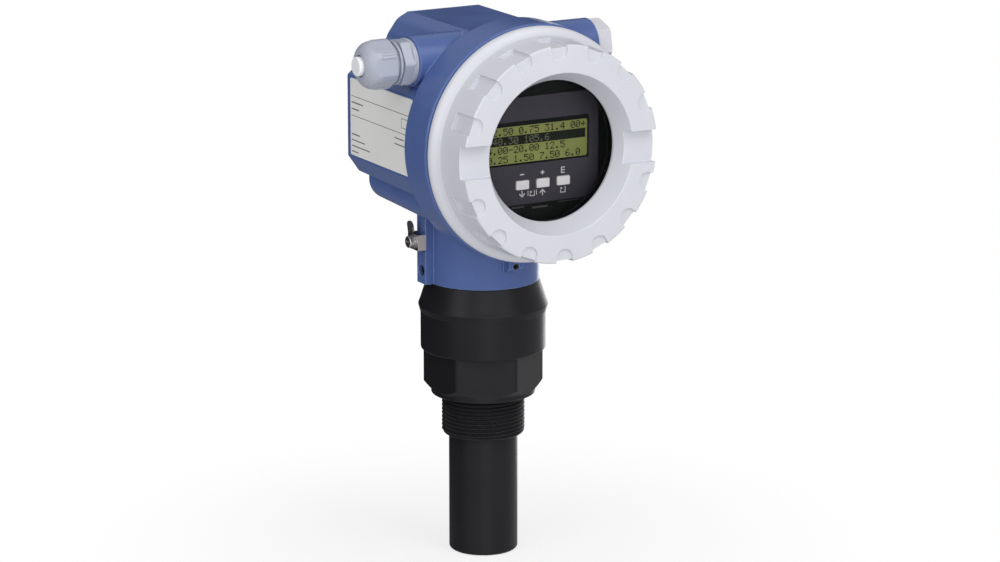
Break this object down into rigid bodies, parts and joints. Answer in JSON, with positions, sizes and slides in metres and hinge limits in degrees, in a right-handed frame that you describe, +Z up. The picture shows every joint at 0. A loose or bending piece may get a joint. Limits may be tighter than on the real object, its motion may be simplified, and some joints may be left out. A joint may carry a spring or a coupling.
{
  "type": "ultrasonic level transmitter",
  "caption": "Compact ultrasonic level transmitter: threaded black sensor, blue swivel housing, pale screw cover with a display window, cable gland and blanking plug.",
  "frame": {"origin": "centre of the sealing shoulder under the hexagon, on the sensor axis", "axes": "+Z up along the sensor axis, display faces -Y, cable gland points along -X"},
  "size_m": [0.1578, 0.1413, 0.3165],
  "materials": {
    "blue_paint": "satin",
    "light_paint": "satin",
    "black_plastic": "matt, moulded",
    "gland_plastic": "satin",
    "white_plastic": "satin",
    "panel_plastic": "satin",
    "steel": "satin",
    "dark_steel": "blackened",
    "brass": "satin",
    "rubber": "matt",
    "seal_grey": "matt",
    "glass": "clear, polished",
    "lcd": "gloss",
    "board": "satin",
    "ceramic": "matt",
    "label": "satin, printed"
  },
  "bodies": {
    "sensor": {"sensor_body": "black_plastic", "matching_layer": "ceramic", "piezo_disc": "ceramic", "backing_block": "black_plastic", "sensor_lead": "rubber", "sensor_plug": "black_plastic", "housing_adapter": "black_plastic", "swivel_seals": "rubber", "retaining_ring": "steel"},
    "housing": {"housing": "blue_paint", "nameplate": "label", "gland_gasket": "seal_grey", "gland_body": "gland_plastic", "entry_seal": "seal_grey", "entry_plug": "white_plastic", "ground_clamp": "steel", "electronics_module": "black_plastic", "terminal_block": "white_plastic", "terminal_screws": "brass", "display_holder": "black_plastic", "display_panel": "panel_plastic", "lcd_module": "lcd", "display_board": "board", "key_switches": "black_plastic"},
    "cover_ring": {"cover_seal": "rubber"},
    "cover": {"front_cover": "light_paint", "window_glass": "glass", "glass_gasket": "rubber", "glass_retainer": "dark_steel"},
    "gland_insert": {"gland_seal": "rubber", "gland_pin": "white_plastic"},
    "gland_nut": {"gland_nut": "gland_plastic"},
    "ground_washer": {"ground_washer": "steel"},
    "ground_screw": {"ground_screw": "steel"},
    "swivel_lock_side": {"swivel_lock_side": "dark_steel"},
    "swivel_lock_front": {"swivel_lock_front": "dark_steel"},
    "key_minus": {"key_minus": "white_plastic"},
    "key_plus": {"key_plus": "white_plastic"},
    "key_enter": {"key_enter": "white_plastic"}
  },
  "joints": [
    {"name": "housing_swivel", "type": "hinge", "parent": "sensor", "child": "housing", "pos_m": [0, 0, 0], "axis": [0, 0, 1], "range_deg": [-175, 175]},
    {"name": "cover_travel", "type": "slide", "parent": "housing", "child": "cover_ring", "axis": [0, -1, 0], "range_m": [0, 0.01201]},
    {"name": "cover_turn", "type": "hinge", "parent": "cover_ring", "child": "cover", "pos_m": [0, 0, 0.1552], "axis": [0, -1, 0], "range_deg": [0, 2160]},
    {"name": "gland_travel", "type": "slide", "parent": "housing", "child": "gland_insert", "axis": [-1, 0, 0], "range_m": [0, 0.00601]},
    {"name": "gland_turn", "type": "hinge", "parent": "gland_insert", "child": "gland_nut", "pos_m": [0, -0.0185, 0.2009], "axis": [-1, 0, 0], "range_deg": [0, 1440]},
    {"name": "ground_travel", "type": "slide", "parent": "housing", "child": "ground_washer", "axis": [-1, 0, 0], "range_m": [0, 0.0021]},
    {"name": "ground_turn", "type": "hinge", "parent": "ground_washer", "child": "ground_screw", "pos_m": [0, 0.0042, 0.0922], "axis": [-1, 0, 0], "range_deg": [0, 1120]},
    {"name": "side_lock_turn", "type": "hinge", "parent": "housing", "child": "swivel_lock_side", "pos_m": [0, 0.0042, 0.0747], "axis": [-1, 0, 0], "range_deg": [0, 180]},
    {"name": "front_lock_turn", "type": "hinge", "parent": "housing", "child": "swivel_lock_front", "pos_m": [0, 0, 0.0812], "axis": [0, -1, 0], "range_deg": [0, 180]},
    {"name": "key_minus_press", "type": "slide", "parent": "housing", "child": "key_minus", "axis": [0, 1, 0], "range_m": [0, 0.0005], "stiffness_N_per_m": 2000},
    {"name": "key_plus_press", "type": "slide", "parent": "housing", "child": "key_plus", "axis": [0, 1, 0], "range_m": [0, 0.0005], "stiffness_N_per_m": 2000},
    {"name": "key_enter_press", "type": "slide", "parent": "housing", "child": "key_enter", "axis": [0, 1, 0], "range_m": [0, 0.0005], "stiffness_N_per_m": 2000}
  ],
  "couplings": [
    {"joint": "cover_travel", "follows": "cover_turn", "m_per_rad": 0.00031831},
    {"joint": "gland_travel", "follows": "gland_turn", "m_per_rad": 0.00023873},
    {"joint": "ground_turn", "follows": "ground_travel", "rad_per_m": 8976}
  ]
}
